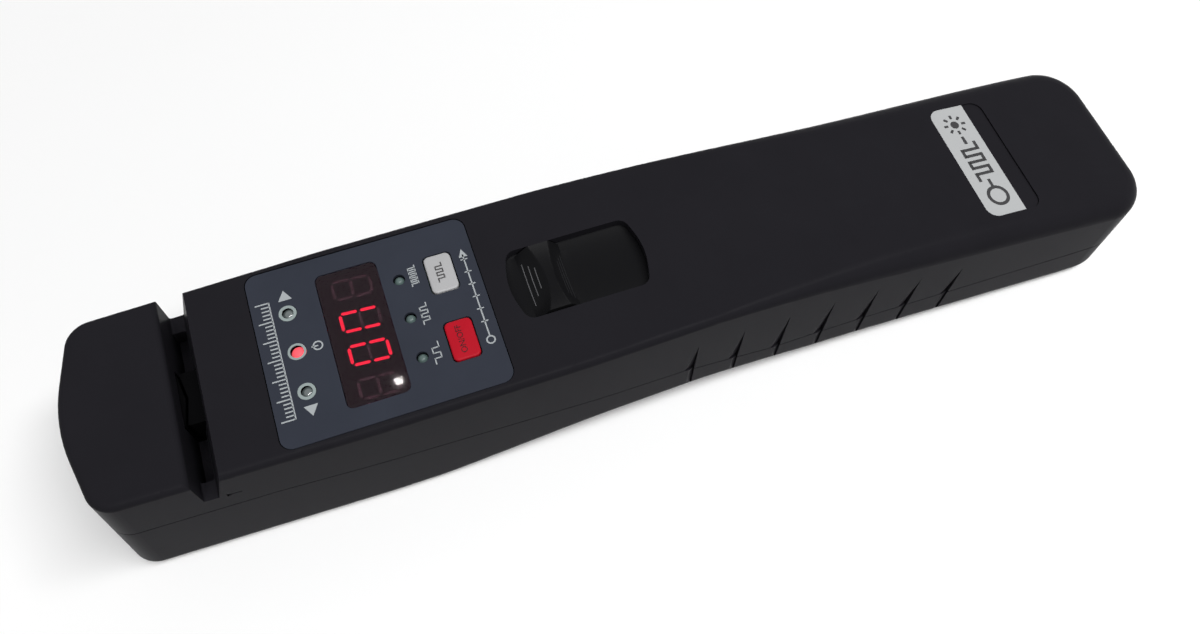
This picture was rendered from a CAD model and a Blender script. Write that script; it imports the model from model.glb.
import math

import bmesh
import bpy
from mathutils import Matrix, Vector


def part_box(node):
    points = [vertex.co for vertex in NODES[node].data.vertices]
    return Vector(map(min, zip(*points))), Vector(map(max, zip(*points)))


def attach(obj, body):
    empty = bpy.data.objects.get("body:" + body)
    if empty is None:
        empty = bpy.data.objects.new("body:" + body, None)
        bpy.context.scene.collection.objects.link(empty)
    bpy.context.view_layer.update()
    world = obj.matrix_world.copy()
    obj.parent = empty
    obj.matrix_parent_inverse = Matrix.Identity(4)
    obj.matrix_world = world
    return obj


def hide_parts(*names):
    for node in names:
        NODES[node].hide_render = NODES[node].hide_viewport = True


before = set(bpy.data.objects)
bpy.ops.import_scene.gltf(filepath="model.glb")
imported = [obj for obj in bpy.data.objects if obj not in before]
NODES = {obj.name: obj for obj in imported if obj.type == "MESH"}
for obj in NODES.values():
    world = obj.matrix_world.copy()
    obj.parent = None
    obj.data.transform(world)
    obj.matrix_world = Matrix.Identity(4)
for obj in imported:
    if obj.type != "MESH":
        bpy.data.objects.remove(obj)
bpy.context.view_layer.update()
MM = 0.001
SCENE = bpy.context.scene

# ------------------------------------------------------------------------------------------ camera
# where the camera stands, in metres, and which way its own axes point
SPOT = (-0.03907, -0.0825, 0.18179)
RIGHT = (0.94082, -0.33809, 0.02353)
UP = (0.29277, 0.84573, 0.44612)
BACK = (-0.17073, -0.41283, 0.89466)

camera_data = bpy.data.cameras.new("camera")
camera_data.lens = 30.65
camera_data.sensor_width = 36
camera_data.shift_x = -0.0111
camera_data.shift_y = 0.0073
camera_data.clip_start = 0.005
camera_data.clip_end = 20
camera = bpy.data.objects.new("camera", camera_data)
SCENE.collection.objects.link(camera)
camera.matrix_world = Matrix((*zip(RIGHT, UP, BACK, SPOT), (0, 0, 0, 1)))
SCENE.camera = camera


# --------------------------------------------------------------------------------------- materials
# the sockets of a colour Mix node, which share their names with its number sockets
MIX_A, MIX_B, MIX_RESULT = 6, 7, 2
# share of open air in a crevice below which it is darkest and above which it isn't darkened
CREVICE_DARK, CREVICE_OPEN, CREVICE_FLOOR = 0.10, 0.55, 0.10


class Nodes:
    """A short way to write a node tree."""

    def __init__(self, tree):
        self.tree = tree

    def add(self, kind, **settings):
        node = self.tree.nodes.new("ShaderNode" + kind)
        for name, value in settings.items():
            setattr(node, name, value)
        return node

    def set(self, node, **values):
        for name, value in values.items():
            node.inputs[name.replace("_", " ")].default_value = value
        return node

    def link(self, out_socket, in_socket):
        self.tree.links.new(out_socket, in_socket)

    def noise(self, **values):
        """A noise texture laid in the object's own space."""
        texture = self.set(self.add("TexNoise"), **values)
        self.link(self.add("TexCoord").outputs["Object"], texture.inputs["Vector"])
        return texture.outputs["Fac"]

    def mix(self, factor, low, high):
        """The colour low where factor is 0 and high where it is 1."""
        blend = self.add("Mix", data_type="RGBA")
        blend.inputs[MIX_A].default_value = (*low, 1)
        blend.inputs[MIX_B].default_value = (*high, 1)
        self.link(factor, blend.inputs["Factor"])
        return blend.outputs[MIX_RESULT]

    def span(self, value, low, high, start=0.0, end=1.0, interpolation="LINEAR"):
        """Maps a value from start..end to low..high."""
        ramp = self.add("MapRange", interpolation_type=interpolation)
        self.set(ramp, From_Min=start, From_Max=end, To_Min=low, To_Max=high)
        self.link(value, ramp.inputs["Value"])
        return ramp.outputs["Result"]

    def math(self, operation, first, second):
        """A Math node between a socket and another socket or a number."""
        node = self.add("Math", operation=operation)
        self.link(first, node.inputs[0])
        if isinstance(second, float):
            node.inputs[1].default_value = second
        else:
            self.link(second, node.inputs[1])
        return node.outputs[0]

    def mix_shader(self, factor, low, high):
        """The shader low where factor is 0 and high where it is 1."""
        blend = self.add("MixShader")
        for socket, source in zip(blend.inputs, (factor, low, high)):
            self.link(source, socket)
        return blend.outputs[0]


def new_material(name):
    """A material with its node tree in short form and its main shader."""
    made = bpy.data.materials.new(name)
    made.use_nodes = True
    return made, Nodes(made.node_tree), made.node_tree.nodes["Principled BSDF"]


def material(name, color, roughness=0.45, rough_spread=0.06, grain=0.0, grain_size=0.25,
             mottle=0.12, metallic=0.0, bump_distance=0.02, coat=0.0, specular=0.5, crevice=0.0):
    """A moulded, painted or metal surface: mottled colour, uneven gloss and a fine grain in the bump.

    grain_size, bump_distance and crevice, the reach of the darkening in seams and slots, are in mm.
    """
    made, n, shader = new_material(name)
    n.set(shader, Metallic=metallic, Specular_IOR_Level=specular, Coat_Weight=coat)
    broad = n.noise(Scale=90.0, Detail=4.0, Roughness=0.6)
    tint = n.mix(broad, [c * (1 - mottle) for c in color], [min(1, c * (1 + mottle)) for c in color])
    if crevice:
        # the lightless depth of seams, grooves and the slot
        open_air = n.add("AmbientOcclusion", samples=12)
        n.set(open_air, Distance=crevice * MM)
        share = n.span(open_air.outputs["AO"], CREVICE_FLOOR, 1.0, CREVICE_DARK, CREVICE_OPEN)
        shaded = n.add("VectorMath", operation="SCALE")
        n.link(tint, shaded.inputs[0])
        n.link(share, shaded.inputs["Scale"])
        tint = shaded.outputs["Vector"]
        n.link(n.math("MULTIPLY", share, specular), shader.inputs["Specular IOR Level"])
    n.link(tint, shader.inputs["Base Color"])
    n.link(n.span(broad, roughness - rough_spread, roughness + rough_spread),
           shader.inputs["Roughness"])
    if grain:
        bump = n.set(n.add("Bump"), Strength=grain, Distance=bump_distance * MM)
        n.link(n.noise(Scale=1 / (grain_size * MM), Detail=3.0, Roughness=0.55), bump.inputs["Height"])
        n.link(bump.outputs["Normal"], shader.inputs["Normal"])
    return made


def glow(name, color, strength, core, roughness=0.7, specular=0.1):
    """A surface that gives light, between two colours by a soft noise so that it isn't flat."""
    made, n, shader = new_material(name)
    n.set(shader, Base_Color=(*color, 1), Roughness=roughness, Emission_Strength=strength,
          Specular_IOR_Level=specular)
    n.link(n.mix(n.noise(Scale=900.0, Detail=2.0), color, core), shader.inputs["Emission Color"])
    return made


def tinted_glass(name, color, roughness):
    """Clear tinted plastic, a little unevenly polished."""
    made, n, shader = new_material(name)
    n.set(shader, Base_Color=(*color, 1), IOR=1.25, Transmission_Weight=1.0)
    n.link(n.span(n.noise(Scale=160.0, Detail=2.0), roughness * 0.7, roughness * 1.4),
           shader.inputs["Roughness"])
    return made


shell_mat = material("moulded_shell", (0.0146, 0.0140, 0.0170), roughness=0.34, rough_spread=0.05,
                     grain=0.30, grain_size=0.35, mottle=0.10, bump_distance=0.03, specular=0.013,
                     crevice=4.0)
slide_mat = material("satin_slide", (0.0072, 0.0072, 0.0080), roughness=0.34, grain=0.15, mottle=0.08,
                     specular=0.03)
worn_mat = material("worn_ridge", (0.075, 0.075, 0.080), roughness=0.42, mottle=0.2)
dull_line_mat = material("dull_line", (0.019, 0.019, 0.021), roughness=0.42, mottle=0.2, specular=0.1)
inner_mat = material("dark_inside", (0.0022, 0.0022, 0.0025), roughness=0.65, grain=0.3, specular=0.02,
                     crevice=4.0)
film_mat = material("panel_film", (0.0265, 0.0305, 0.0430), roughness=0.45, rough_spread=0.04,
                    grain=0.25, grain_size=0.5, mottle=0.14, bump_distance=0.02, specular=0.10)
print_mat = material("panel_print", (0.36, 0.385, 0.40), roughness=0.45, mottle=0.10, specular=0.3)
ring_mat = material("lamp_ring", (0.27, 0.32, 0.315), roughness=0.4, mottle=0.1, specular=0.3)
red_key_mat = material("red_key", (0.42, 0.008, 0.019), roughness=0.42, grain=0.25, grain_size=0.4,
                       mottle=0.16, specular=0.08)
white_key_mat = material("white_key", (0.405, 0.405, 0.412), roughness=0.4, grain=0.15, mottle=0.05,
                         specular=0.3)
key_ink_mat = material("key_ink", (0.03, 0.028, 0.03), roughness=0.5)
red_ink_mat = material("red_key_ink", (0.045, 0.004, 0.007), roughness=0.5, specular=0.2)
sticker_mat = material("sticker_film", (0.42, 0.43, 0.435), roughness=0.42, mottle=0.04)
sticker_ink_mat = material("sticker_ink", (0.010, 0.010, 0.012), roughness=0.4)
steel_mat = material("plated_steel", (0.55, 0.55, 0.56), roughness=0.28, metallic=1.0, mottle=0.06)
brass_mat = material("turned_brass", (0.70, 0.50, 0.24), roughness=0.3, metallic=1.0, mottle=0.06)
nickel_mat = material("nickel_port", (0.58, 0.58, 0.57), roughness=0.22, metallic=1.0, mottle=0.05)
ceramic_mat = material("white_ceramic", (0.72, 0.71, 0.67), roughness=0.22, mottle=0.03, coat=0.4)
board_mat = material("board_green", (0.015, 0.10, 0.045), roughness=0.4, mottle=0.15)
nylon_mat = material("nylon", (0.48, 0.47, 0.43), roughness=0.45, mottle=0.05, grain=0.2)
cell_mat = material("battery_jacket", (0.06, 0.09, 0.22), roughness=0.3, mottle=0.1, coat=0.3)
lamp_mat = material("lamp_lens", (0.10, 0.12, 0.12), roughness=0.14, mottle=0.1, coat=0.6)
small_lamp_mat = material("small_lamp_lens", (0.085, 0.125, 0.120), roughness=0.3, mottle=0.15,
                          specular=0.3)
diode_mat = material("diode_epoxy", (0.015, 0.012, 0.018), roughness=0.12, mottle=0.1, coat=0.5)
lit_lamp_mat = glow("lit_lamp", (0.80, 0.07, 0.09), 0.60, core=(1.0, 0.16, 0.19), roughness=0.4)
segment_mat = glow("lit_segment", (0.62, 0.008, 0.032), 0.50, core=(0.82, 0.013, 0.05))
display_mat = glow("display_block", (0.012, 0.005, 0.009), 0.8, core=(0.014, 0.006, 0.010))
ghost_mat = glow("unlit_segment", (0.016, 0.006, 0.010), 0.8, core=(0.018, 0.007, 0.011))
window_mat = tinted_glass("red_window", (0.93, 0.74, 0.79), 0.03)

CAD_LOOKS = {
    "top_shell": shell_mat, "bottom_shell": shell_mat, "battery_door": shell_mat,
    "membrane_panel": film_mat, "display_window": window_mat, "digit_display": display_mat,
    "led_direction_left": lamp_mat, "led_direction_right": lamp_mat, "led_power": lit_lamp_mat,
    "led_tone_low": small_lamp_mat, "led_tone_mid": small_lamp_mat, "led_tone_high": small_lamp_mat,
    "key_light_source": red_key_mat, "key_pulse_mode": white_key_mat,
    "switch_light_source": steel_mat, "switch_pulse_mode": steel_mat, "main_board": board_mat,
    "thumb_slider": slide_mat, "slide_carriage": nylon_mat, "press_jaw": inner_mat,
    "return_spring": steel_mat, "detector_block": inner_mat, "photodiode_left": diode_mat,
    "photodiode_right": diode_mat, "sensor_board": board_mat, "laser_module": brass_mat,
    "port_barrel": nickel_mat, "ferrule_sleeve": ceramic_mat, "battery_9v": cell_mat,
    "battery_snap": inner_mat, "shell_screws": steel_mat, "label_sticker": sticker_mat,
}
for name, look in CAD_LOOKS.items():
    mesh = NODES[name].data
    mesh.materials.clear()
    mesh.materials.append(look)


# --------------------------------------------------------------------------------- drawing helpers
def keep_piece(obj, body, look):
    """Links a finished mesh object, gives it its material and lets it ride on its body."""
    if obj.name not in SCENE.collection.objects:
        SCENE.collection.objects.link(obj)
    obj.data.materials.clear()
    obj.data.materials.append(look)
    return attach(obj, body)


def mesh_object(name, make):
    """A mesh object in metres from a function that fills a bmesh in millimetres."""
    mesh = bpy.data.meshes.new(name)
    bm = bmesh.new()
    make(bm)
    bmesh.ops.scale(bm, vec=(MM, MM, MM), verts=bm.verts)
    bmesh.ops.recalc_face_normals(bm, faces=bm.faces)
    bm.to_mesh(mesh)
    bm.free()
    return bpy.data.objects.new(name, mesh)


def plate(bm, outline, low, high):
    """A flat plate from an outline of (x, y)."""
    lower = [bm.verts.new((x, y, low)) for x, y in outline]
    upper = [bm.verts.new((x, y, high)) for x, y in outline]
    bm.faces.new(list(reversed(lower)))
    bm.faces.new(upper)
    count = len(outline)
    for i in range(count):
        j = (i + 1) % count
        bm.faces.new((lower[i], lower[j], upper[j], upper[i]))


def rounded_box(x, y, length, width, radius, steps=6):
    """Outline of a rectangle with rounded corners about (x, y)."""
    points = []
    for corner in range(4):
        sign_x = 1 if corner in (0, 3) else -1
        sign_y = 1 if corner in (0, 1) else -1
        centre = (x + sign_x * (length / 2 - radius), y + sign_y * (width / 2 - radius))
        for step in range(steps + 1):
            angle = math.radians(90 * (corner + step / steps))
            points.append((centre[0] + radius * math.cos(angle), centre[1] + radius * math.sin(angle)))
    return points


def stroke(points, width):
    """Outline of a straight bar between two points."""
    (x1, y1), (x2, y2) = points
    length = math.hypot(x2 - x1, y2 - y1)
    nx, ny = -(y2 - y1) / length * width / 2, (x2 - x1) / length * width / 2
    return [(x1 + nx, y1 + ny), (x1 - nx, y1 - ny), (x2 - nx, y2 - ny), (x2 + nx, y2 + ny)]


def circle(x, y, radius, steps=40):
    """Outline of a circle."""
    return [(x + radius * math.cos(2 * math.pi * i / steps),
             y + radius * math.sin(2 * math.pi * i / steps)) for i in range(steps)]


def ring(bm, x, y, inner, outer, low, high, steps=48):
    """A flat ring."""
    loops = []
    for radius, height in ((outer, low), (outer, high), (inner, high), (inner, low)):
        loops.append([bm.verts.new((px, py, height)) for px, py in circle(x, y, radius, steps)])
    for a in range(4):
        for i in range(steps):
            j = (i + 1) % steps
            bm.faces.new((loops[a][i], loops[a][j], loops[(a + 1) % 4][j], loops[(a + 1) % 4][i]))


# ------------------------------------------------------------------------------ prints on the panel
# all in millimetres; places along the object are counted from the head's end, see at()
PANEL_FROM_HEAD = 32.05
FILM_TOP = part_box("membrane_panel")[1].z / MM
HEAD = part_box("membrane_panel")[0].x / MM - PANEL_FROM_HEAD
# how far ink stands above and reaches below its base, and how far it clears a curved one
INK, INK_ROOT, INK_LIFT = 0.035, 0.01, 0.005


def flat_prints(name, outlines, look, top=None, rings=(), body="housing"):
    """Thin raised ink: filled outlines and rings."""
    base = FILM_TOP if top is None else top

    def make(bm):
        for outline in outlines:
            plate(bm, outline, base - INK_ROOT, base + INK)
        for x, y, inner, outer in rings:
            ring(bm, x, y, inner, outer, base - INK_ROOT, base + INK)
    return keep_piece(mesh_object(name, make), body, look)


def at(s):
    """x of a place that lies s behind the head's end."""
    return HEAD + s


def triangle(x, y, height, half_width, direction):
    """A marker that points along y."""
    tip = y + direction * height / 2
    back = y - direction * height / 2
    return [(x, tip), (x - half_width, back), (x + half_width, back)]


# a ruler-like scale where the panel carries its long caption
SCALE_AT, SCALE_MARKS, SCALE_PITCH, SCALE_START = 35.2, 31, 0.727, -11.5
scale_marks = [stroke(((at(SCALE_AT), -11.6), (at(SCALE_AT), 10.4)), 0.22)]
for i in range(SCALE_MARKS):
    length = 2.3 if i % 5 == 0 else 1.4
    y = SCALE_START + i * SCALE_PITCH
    scale_marks.append(stroke(((at(SCALE_AT), y), (at(SCALE_AT - length), y)), 0.24))
flat_prints("panel_scale", scale_marks, print_mat)

# direction markers and rings about the three lamps
LAMP_AT, LAMP_APART = at(37.8), 7.4
flat_prints("direction_marks", [triangle(at(37.9), side * 10.9, 1.9, 1.15, side)
                                for side in (-1, 1)], print_mat)
flat_prints("lamp_rings", [], ring_mat,
            rings=[(LAMP_AT, side * LAMP_APART, 0.96, 1.47) for side in (-1, 1)])
flat_prints("power_ring", [], ring_mat, rings=[(LAMP_AT, 0, 1.12, 1.50)])

# a small bar-in-ring sign behind the lit lamp
flat_prints("power_sign", [stroke(((at(40.2), 0), (at(41.3), 0)), 0.24)], print_mat,
            rings=[(at(41.25), 0, 0.62, 0.86)])


def square_wave(x, y, cycles, length, height, width):
    """Outlines of a square wave that runs along y and swings along x."""
    bars = []
    step = length / cycles / 2
    for i in range(cycles * 2):
        y0 = y - length / 2 + i * step
        level = x + (height / 2 if i % 2 else -height / 2)
        bars.append(stroke(((level, y0 - width / 2), (level, y0 + step + width / 2)), width))
        if i:
            bars.append(stroke(((x - height / 2, y0), (x + height / 2, y0)), width))
    return bars


# a square wave beside each tone lamp, slow to fast
TONE_AT, TONE_PITCH = at(59.2), 7.6
tone_marks = []
for i, cycles in enumerate((2, 3, 5)):
    tone_marks += square_wave(TONE_AT, (i - 1) * TONE_PITCH, cycles, 3.9, 1.15, 0.2)
flat_prints("tone_marks", tone_marks, print_mat)

# a beam line where the panel names the light source
BEAM_AT, BEAM_START, BEAM_TIP = at(68.2), -8.2, 9.2
beam = [stroke(((BEAM_AT, -7.4), (BEAM_AT, 8.9)), 0.24)]
for i in range(6):
    y = -4.6 + i * 2.5
    beam.append(stroke(((BEAM_AT - 0.6, y), (BEAM_AT + 0.6, y)), 0.22))
beam.append(triangle(BEAM_AT, BEAM_TIP, 1.6, 0.75, 1))
flat_prints("beam_line", beam, print_mat, rings=[(BEAM_AT, BEAM_START, 0.55, 0.8)])

# ------------------------------------------------------------------------------------- the digits
window_low, window_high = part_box("display_window")
# the bars' tops lie just over the numeral block, those of lit bars a little higher
DIGIT_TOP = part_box("digit_display")[1].z / MM + 0.02
BAR_DEPTH, LIT_LIFT = 0.25, 0.03
DIGITS_AT, DIGIT_PITCH, DIGIT_HEIGHT, DIGIT_WIDTH = at(48.85), 6.35, 6.3, 3.45
BAR_WIDTH, BAR_GAP, LEAN = 0.54, 0.22, 0.2


def segment(bm, start, end, width, low, high):
    """One bar of a numeral with pointed ends."""
    (x1, y1), (x2, y2) = start, end
    length = math.hypot(x2 - x1, y2 - y1)
    dx, dy = (x2 - x1) / length, (y2 - y1) / length
    px, py = -dy * width / 2, dx * width / 2
    nip = width * 0.5
    outline = [(x1, y1), (x1 + dx * nip + px, y1 + dy * nip + py),
               (x2 - dx * nip + px, y2 - dy * nip + py), (x2, y2),
               (x2 - dx * nip - px, y2 - dy * nip - py), (x1 + dx * nip - px, y1 + dy * nip - py)]
    plate(bm, outline, low, high)


def numeral(centre_y, shown, name, look, lift=0.0):
    """Bars of a seven-segment numeral whose top points to the head."""
    x_mid = DIGITS_AT
    x_top, x_bottom = x_mid - DIGIT_HEIGHT / 2, x_mid + DIGIT_HEIGHT / 2
    left, right = centre_y - DIGIT_WIDTH / 2, centre_y + DIGIT_WIDTH / 2

    def slant(x, y):
        return (x, y + LEAN * (x_mid - x) / DIGIT_HEIGHT * 2)

    spans = {
        "a": ((x_top, left + BAR_GAP), (x_top, right - BAR_GAP)),
        "b": ((x_top + BAR_GAP, right), (x_mid - BAR_GAP, right)),
        "c": ((x_mid + BAR_GAP, right), (x_bottom - BAR_GAP, right)),
        "d": ((x_bottom, left + BAR_GAP), (x_bottom, right - BAR_GAP)),
        "e": ((x_mid + BAR_GAP, left), (x_bottom - BAR_GAP, left)),
        "f": ((x_top + BAR_GAP, left), (x_mid - BAR_GAP, left)),
        "g": ((x_mid, left + BAR_GAP), (x_mid, right - BAR_GAP)),
    }

    def make(bm):
        for key in shown:
            start, end = spans[key]
            segment(bm, slant(*start), slant(*end), BAR_WIDTH, DIGIT_TOP - BAR_DEPTH, DIGIT_TOP + lift)
    return keep_piece(mesh_object(name, make), "housing", look)


# places of the four numerals, in pitches from the middle: the inner two are lit
numeral(-0.5 * DIGIT_PITCH, "abcdef", "digit_zero", segment_mat, LIT_LIFT)
numeral(0.5 * DIGIT_PITCH, "abcef", "digit_n", segment_mat, LIT_LIFT)
for pitches, spare, label in ((-0.5, "g", "zero"), (0.5, "dg", "n"),
                              (-1.5, "abcdefg", "near"), (1.5, "abcdefg", "far")):
    numeral(pitches * DIGIT_PITCH, spare, "unlit_" + label, ghost_mat)

# ----------------------------------------------------------------------------------------- the keys
KEYS_AT, KEY_APART = at(63.65), 6.6
KEY_LENGTH, KEY_WIDTH, KEY_CORNER = 4.62, 7.32, 0.95
# how far the rolled edge reaches inwards and down, and how much the middle stands above it
KEY_ROLL, KEY_EDGE, KEY_CROWN = 0.42, 0.45, 0.16


def key_rims(top, base):
    """Inset and height of a key's outlines, from its foot over the rolled edge."""
    profile = [(0.0, base), (0.0, top - KEY_EDGE)]
    steps = 6
    for i in range(1, steps + 1):
        angle = math.pi / 2 * i / steps
        profile.append((KEY_ROLL * (1 - math.cos(angle)),
                        top - KEY_EDGE + (KEY_EDGE - KEY_CROWN) * math.sin(angle)))
    return profile


def crowned_key(name, y, look):
    """A soft key cap: rounded corners, rolled edge and a slight crown."""
    low, high = (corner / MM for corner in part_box(name))
    centre_x = (low.x + high.x) / 2

    def make(bm):
        rims = []
        for inset, height in key_rims(high.z, low.z):
            outline = rounded_box(centre_x, y, KEY_LENGTH - 2 * inset, KEY_WIDTH - 2 * inset,
                                  KEY_CORNER - inset)
            rims.append([bm.verts.new((px, py, height)) for px, py in outline])
        for share in (0.75, 0.5, 0.25):
            height = high.z - KEY_CROWN * share ** 2
            outline = rounded_box(centre_x, y, (KEY_LENGTH - 2 * KEY_ROLL) * share,
                                  (KEY_WIDTH - 2 * KEY_ROLL) * share, 0.5 * share)
            rims.append([bm.verts.new((px, py, height)) for px, py in outline])
        count = len(rims[0])
        for a, b in zip(rims, rims[1:]):
            for i in range(count):
                j = (i + 1) % count
                bm.faces.new((a[i], a[j], b[j], b[i]))
        bm.faces.new(rims[-1])
        bm.faces.new(list(reversed(rims[0])))
    cap = mesh_object(name + "_cap", make)
    for polygon in cap.data.polygons:
        polygon.use_smooth = True
    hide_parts(name)
    return keep_piece(cap, name, look)


def lay_on_key(piece, name):
    """Lets flat ink follow the crown of the key it is printed on."""
    low, high = (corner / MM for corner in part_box(name))
    middle = (low + high) / 2
    foot = min(vertex.co.z for vertex in piece.data.vertices)
    for vertex in piece.data.vertices:
        along = abs(vertex.co.x / MM - middle.x) / (KEY_LENGTH / 2 - KEY_ROLL)
        across = abs(vertex.co.y / MM - middle.y) / (KEY_WIDTH / 2 - KEY_ROLL)
        drop = KEY_CROWN * max(along, across) ** 2
        vertex.co.z = (high.z - drop + INK_LIFT) * MM + (vertex.co.z - foot)


crowned_key("key_light_source", -KEY_APART, red_key_mat)
crowned_key("key_pulse_mode", KEY_APART, white_key_mat)
KEY_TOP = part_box("key_light_source")[1].z / MM


def words(name, text, x, y, size, look, top, body):
    """Flat lettering that reads along y with its top towards the head."""
    curve = bpy.data.curves.new(name, "FONT")
    curve.body = text
    curve.size = size * MM
    curve.extrude = 0.02 * MM
    curve.align_x = "CENTER"
    curve.align_y = "CENTER"
    made = bpy.data.objects.new(name + "_curve", curve)
    SCENE.collection.objects.link(made)
    made.matrix_world = Matrix(((0, -1, 0, x * MM), (1, 0, 0, y * MM), (0, 0, 1, top * MM),
                                (0, 0, 0, 1)))
    bpy.context.view_layer.update()
    depsgraph = bpy.context.evaluated_depsgraph_get()
    mesh = bpy.data.meshes.new_from_object(made.evaluated_get(depsgraph))
    mesh.transform(made.matrix_world)
    bpy.data.objects.remove(made)
    piece = bpy.data.objects.new(name, mesh)
    return keep_piece(piece, body, look)


lay_on_key(words("switch_words", "ON/OFF", KEYS_AT, -KEY_APART, 1.45, red_ink_mat, KEY_TOP,
                 "key_light_source"), "key_light_source")
lay_on_key(flat_prints("pulse_marks", square_wave(KEYS_AT, KEY_APART, 3, 3.6, 1.1, 0.22), key_ink_mat,
                       top=KEY_TOP, body="key_pulse_mode"), "key_pulse_mode")

# --------------------------------------------------------------------------------- the thumb slider
slider_low, slider_high = (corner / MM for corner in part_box("thumb_slider"))
RIDGE_FROM, RIDGE_TO, RIDGE_MIDDLE, RIDGE_HALF = at(76.6), at(84.6), at(81.35), 6.5
# how much the ridge sags in its middle, and how far its flanks are scooped
SADDLE, SCOOP = 1.35, 0.16
# how far its crest reaches to the head and to the tail, and how much further at its two ends
CREST_FRONT, FRONT_MORE, CREST_BACK, BACK_MORE = 0.75, 1.55, 0.7, 0.75
PLATE_EDGE, DISH_HALF, DISH_RADIUS, PLATE_THICKNESS = slider_high.z - 2.15, 6.9, 23.0, 1.0


def plate_height(y):
    """The dished plate, seen across."""
    if abs(y) >= DISH_HALF:
        return PLATE_EDGE
    rim = math.sqrt(DISH_RADIUS ** 2 - DISH_HALF ** 2)
    return PLATE_EDGE - math.sqrt(DISH_RADIUS ** 2 - y ** 2) + rim


def slider_height(x, y):
    """The plate with its thumb ridge: a saddle between two scooped flanks."""
    base = plate_height(y)
    if abs(y) > RIDGE_HALF or not RIDGE_FROM < x < RIDGE_TO:
        return base
    share = (y / RIDGE_HALF) ** 2
    crest = slider_high.z - SADDLE * (1 - share)
    front = RIDGE_MIDDLE - CREST_FRONT - FRONT_MORE * share
    back = RIDGE_MIDDLE + CREST_BACK + BACK_MORE * share
    rise = 1.0
    if x < front:
        rise = (x - RIDGE_FROM) / (front - RIDGE_FROM)
    elif x > back:
        rise = (RIDGE_TO - x) / (RIDGE_TO - back)
    scoop = rise - SCOOP * math.sin(math.pi * rise) * (1 - share)
    return base + (crest - base) * scoop


def spread(start, end, step):
    """Even places from start to just before end, about a step apart."""
    count = max(1, round((end - start) / step))
    return [start + (end - start) * i / count for i in range(count)]


slider_xs = (spread(slider_low.x, RIDGE_FROM, 1.2) + spread(RIDGE_FROM, RIDGE_TO, 0.16)
             + spread(RIDGE_TO, slider_high.x, 1.2) + [slider_high.x])
slider_ys = ([slider_low.y, -7.4, -DISH_HALF, -RIDGE_HALF - 0.03]
             + spread(-RIDGE_HALF, RIDGE_HALF, 0.26)
             + [RIDGE_HALF, RIDGE_HALF + 0.03, DISH_HALF, 7.4, slider_high.y])


def slider_mesh(bm):
    """The plate and ridge as a closed height field."""
    tops = [[bm.verts.new((x, y, slider_height(x, y))) for y in slider_ys] for x in slider_xs]
    feet = [[bm.verts.new((x, y, plate_height(y) - PLATE_THICKNESS)) for y in slider_ys]
            for x in slider_xs]
    for i in range(len(slider_xs) - 1):
        for j in range(len(slider_ys) - 1):
            bm.faces.new((tops[i][j], tops[i + 1][j], tops[i + 1][j + 1], tops[i][j + 1]))
            bm.faces.new((feet[i][j + 1], feet[i + 1][j + 1], feet[i + 1][j], feet[i][j]))
    last_i, last_j = len(slider_xs) - 1, len(slider_ys) - 1
    rim = ([(i, 0) for i in range(last_i + 1)] + [(last_i, j) for j in range(1, last_j + 1)]
           + [(i, last_j) for i in range(last_i - 1, -1, -1)]
           + [(0, j) for j in range(last_j - 1, 0, -1)])
    for (i, j), (k, m) in zip(rim, rim[1:] + rim[:1]):
        bm.faces.new((tops[i][j], feet[i][j], feet[k][m], tops[k][m]))


def smooth_by_angle(obj, angle):
    """Smooth shading that stays sharp where two faces meet steeply."""
    for polygon in obj.data.polygons:
        polygon.use_smooth = True
    obj.data.set_sharp_from_angle(angle=math.radians(angle))
    return obj


slider = smooth_by_angle(mesh_object("thumb_slider_shaped", slider_mesh), 38)
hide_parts("thumb_slider")
keep_piece(slider, "slide", slide_mat)


def grip_line(bm, x, y_from, y_to, width, height):
    """A fine raised line across a flank of the ridge, which fades out in its first and last steps."""
    steps, fade_steps, root = 26, 2, -0.1
    rows = []
    for i in range(steps + 1):
        y = y_from + (y_to - y_from) * i / steps
        lift = height * min(1, i / fade_steps, (steps - i) / fade_steps)
        section = ((x - width / 2, root), (x - width / 4, lift), (x + width / 4, lift),
                   (x + width / 2, root))
        rows.append([bm.verts.new((px, y, slider_height(px, y) + up)) for px, up in section])
    for a, b in zip(rows, rows[1:]):
        for i in range(4):
            bm.faces.new((a[i], a[(i + 1) % 4], b[(i + 1) % 4], b[i]))
    bm.faces.new(rows[0])
    bm.faces.new(list(reversed(rows[-1])))


def grip_lines(bm):
    """Three worn lines on the ridge's flank to the head."""
    for x, y_from, y_to in ((0.75, -3.7, 4.7), (1.7, -2.0, 3.9), (2.6, -0.9, 3.1)):
        grip_line(bm, RIDGE_FROM + x, y_from, y_to, 0.24, 0.11)


def edge_lines(bm):
    """Three finer lines on the flank to the tail."""
    for x, half in ((0.45, 4.4), (0.85, 3.9), (1.25, 3.3)):
        grip_line(bm, RIDGE_TO - x, -half, half, 0.16, 0.07)


keep_piece(mesh_object("thumb_grip_lines", grip_lines), "slide", worn_mat)
keep_piece(mesh_object("thumb_edge_lines", edge_lines), "slide", dull_line_mat)

# ------------------------------------------------------------------------------ sign on the sticker
sticker_low, sticker_high = (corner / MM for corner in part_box("label_sticker"))


def sticker_height(x):
    """The sticker lies on the arched tail: its height falls evenly along x."""
    spots = [vertex.co / MM for vertex in NODES["label_sticker"].data.vertices]
    front = max(spot.z for spot in spots if spot.x < sticker_low.x + 2.5)
    back = max(spot.z for spot in spots if spot.x > sticker_high.x - 0.1)
    return front + (back - front) * (x - sticker_low.x) / (sticker_high.x - sticker_low.x)


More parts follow.
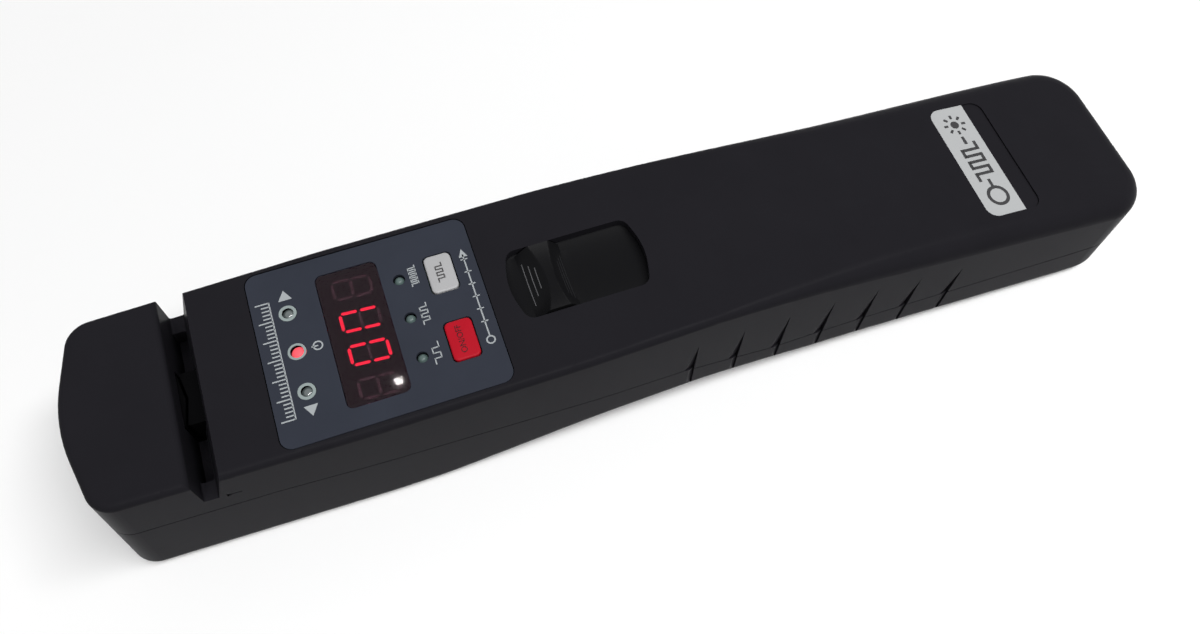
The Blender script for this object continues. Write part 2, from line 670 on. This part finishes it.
# from one end to the other: a ring, a pulse train and a lamp with its rays
SIGN_X = (sticker_low.x + sticker_high.x) / 2 + 0.15
SIGN_STROKE, SIGN_LAMP_Y, RAY_STROKE, RAY_FROM, RAY_TO = 0.62, 8.5, 0.5, 1.45, 2.3
sign_bars = [stroke(((SIGN_X, -6.2), (SIGN_X, -4.6)), SIGN_STROKE)]
sign_bars += square_wave(SIGN_X, -0.35, 3, 8.4, 3.4, SIGN_STROKE)
sign_bars += [stroke(((SIGN_X, 3.8), (SIGN_X, 5.6)), SIGN_STROKE)]
for i in range(8):
    across, along = math.cos(math.radians(45 * i)), math.sin(math.radians(45 * i))
    sign_bars.append(stroke([(SIGN_X + reach * across, SIGN_LAMP_Y + reach * along)
                             for reach in (RAY_FROM, RAY_TO)], RAY_STROKE))
sign_bars.append(circle(SIGN_X, SIGN_LAMP_Y, 0.85))
sign = flat_prints("sticker_sign", sign_bars, sticker_ink_mat, top=0.0,
                   rings=[(SIGN_X, -8.4, 1.55, 2.2)])
for vertex in sign.data.vertices:
    vertex.co.z += (sticker_height(vertex.co.x / MM) + INK_LIFT) * MM

# ------------------------------------------------------------------------------------------- stage
# what bounced light gets from floor and sky; whatever looks at them sees nearly white instead
FLOOR_BOUNCE, FLOOR_SEEN, SKY_BOUNCE, SKY_SEEN = 0.34, 0.98, 0.16, 1.0
# distances from the origin, in metres, over which the lit floor gives way to even white
WHITE_FROM, WHITE_TO = 0.10, 0.30


def seen_ray(n):
    """1 for a ray of the camera, of a mirror or through glass, 0 for light that only bounces."""
    path = n.add("LightPath")
    share = path.outputs["Is Camera Ray"]
    for name in ("Is Glossy Ray", "Is Transmission Ray"):
        share = n.math("MAXIMUM", share, path.outputs[name])
    return share


def floor_material(name):
    """A pale floor that keeps the shadow near the object and turns into an even white far from it."""
    made, n, lit = new_material(name)
    n.set(lit, Roughness=0.85, Specular_IOR_Level=0.1)
    seen = seen_ray(n)
    n.link(n.mix(seen, (FLOOR_BOUNCE,) * 3, (FLOOR_SEEN,) * 3), lit.inputs["Base Color"])
    place = n.add("NewGeometry")
    distance = n.add("VectorMath", operation="LENGTH")
    n.link(place.outputs["Position"], distance.inputs[0])
    far = n.span(distance.outputs["Value"], 0.0, 1.0, WHITE_FROM, WHITE_TO, "SMOOTHSTEP")
    white = n.set(n.add("Emission"), Color=(1, 1, 1, 1))
    from_above = n.mix_shader(n.math("MULTIPLY", far, seen), lit.outputs[0], white.outputs[0])
    # clear from below and for the lamp under it, so that the underside can be looked at
    clear = n.math("MAXIMUM", place.outputs["Backfacing"],
                   n.add("LightPath").outputs["Is Shadow Ray"])
    surface = n.mix_shader(clear, from_above, n.add("BsdfTransparent").outputs[0])
    n.link(surface, made.node_tree.nodes["Material Output"].inputs["Surface"])
    return made


floor_mesh = bpy.data.meshes.new("floor")
floor_bm = bmesh.new()
bmesh.ops.create_grid(floor_bm, x_segments=1, y_segments=1, size=3.0)
floor_bm.to_mesh(floor_mesh)
floor_bm.free()
floor = bpy.data.objects.new("floor", floor_mesh)
# just under the resting plane
floor.location.z = -0.0002
SCENE.collection.objects.link(floor)
floor_mesh.materials.append(floor_material("pale_floor"))

world = bpy.data.worlds.new("studio")
SCENE.world = world
world.use_nodes = True
background = world.node_tree.nodes["Background"]
background.inputs["Color"].default_value = (1, 1, 1, 1)
sky = Nodes(world.node_tree)
sky.link(sky.span(seen_ray(sky), SKY_BOUNCE, SKY_SEEN), background.inputs["Strength"])


def softbox(name, spot, target, size, power, color=(1, 1, 1)):
    """A rectangular lamp at spot that faces target."""
    lamp = bpy.data.lights.new(name, "AREA")
    lamp.shape = "RECTANGLE"
    lamp.size, lamp.size_y = size
    lamp.energy = power
    lamp.color = color
    obj = bpy.data.objects.new(name, lamp)
    SCENE.collection.objects.link(obj)
    obj.location = spot
    obj.rotation_euler = (Vector(target) - Vector(spot)).to_track_quat("-Z", "Y").to_euler()
    return obj


# name, spot, target, size in metres and power in watts
for lamp_values in (("overhead", (0.10, -0.24, 0.84), (0, 0, 0), (1.0, 0.16), 8.5),
                    ("front_left", (0.35, -0.75, 0.35), (0.0, 0, 0.02), (0.5, 0.3), 0.25),
                    ("rim_back", (0.2, 0.75, 0.2), (0.02, 0, 0.02), (0.7, 0.2), 0.8),
                    ("underside", (0.0, -0.15, -0.6), (0, 0, 0), (0.8, 0.4), 3.0)):
    softbox(*lamp_values)

# a small lamp whose image lies in the near corner of the display window
GLINT_DISTANCE = 0.5
glint_at = Vector((window_high.x - 0.0016, window_low.y + 0.0022, window_high.z))
ray = (glint_at - Vector(SPOT)).normalized()
glint_spot = glint_at + Vector((ray.x, ray.y, -ray.z)) * GLINT_DISTANCE
softbox("glint", glint_spot, glint_at, (0.005, 0.004), 0.006, (1.0, 0.93, 0.93))

SCENE.view_settings.view_transform = "Standard"
